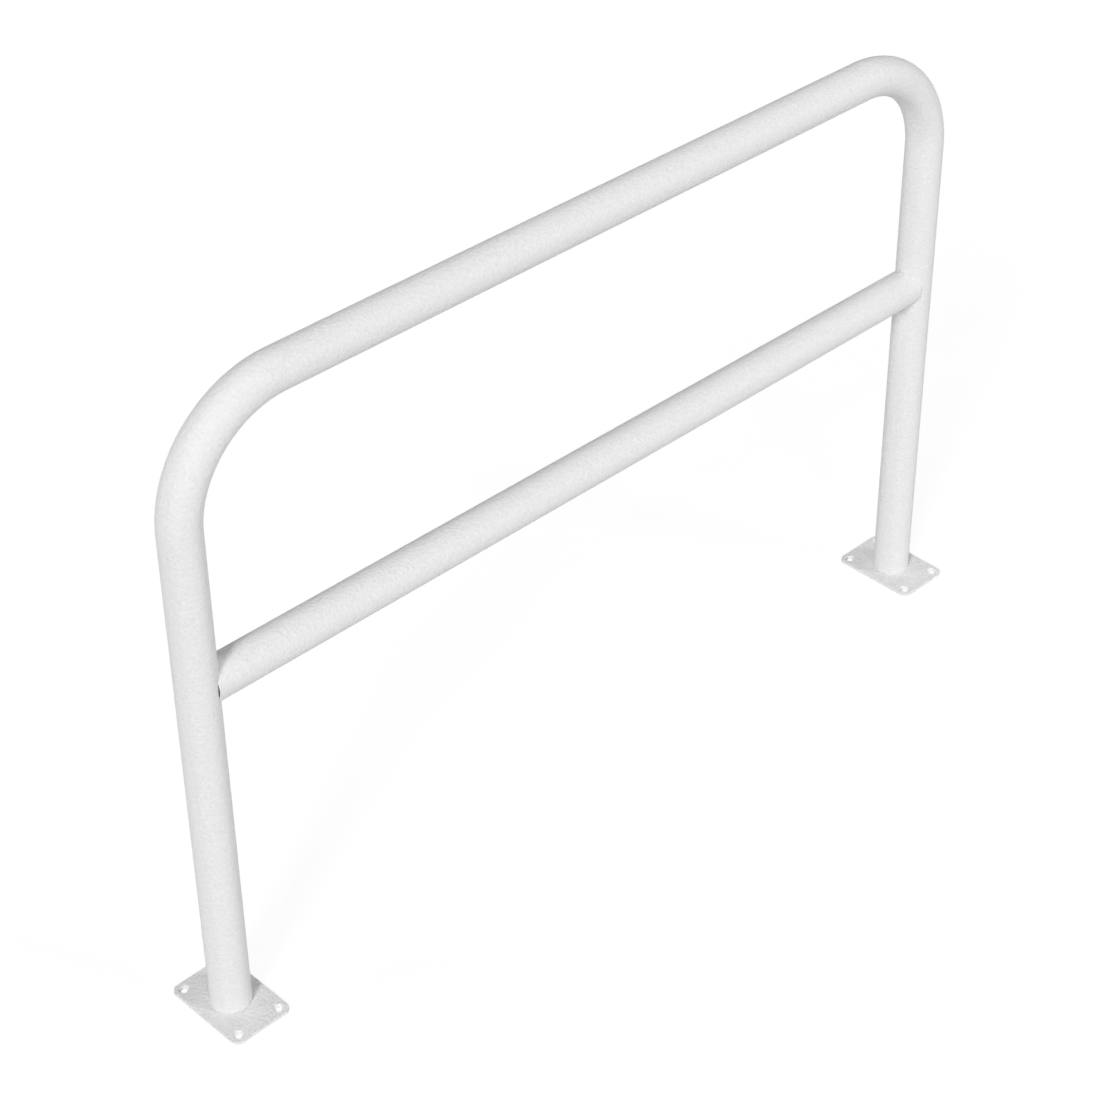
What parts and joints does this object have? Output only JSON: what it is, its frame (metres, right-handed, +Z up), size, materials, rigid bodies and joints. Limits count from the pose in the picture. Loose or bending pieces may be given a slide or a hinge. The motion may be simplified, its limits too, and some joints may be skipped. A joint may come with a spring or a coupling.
{
  "type": "hoop barrier with crossbar",
  "caption": "Hoop barrier bent from round steel tube, with a coped crossbar welded between its legs and a base plate with countersunk anchor holes under each leg.",
  "frame": {"origin": "on the ground, under the base plates, midway between the two legs", "axes": "+X along the barrier from the left leg to the right leg, +Y from its front to its back, +Z up"},
  "size_m": [1.552, 0.15, 1.015],
  "materials": {
    "coat": "white powder coat with a fine orange-peel texture, satin"
  },
  "bodies": {
    "root": {"hoop_tube": "coat", "crossbar": "coat", "left_base_plate": "coat", "right_base_plate": "coat", "left_foot_weld": "coat", "right_foot_weld": "coat", "left_crossbar_top_weld": "coat", "left_crossbar_bottom_weld": "coat", "right_crossbar_top_weld": "coat", "right_crossbar_bottom_weld": "coat"}
  },
  "joints": []
}
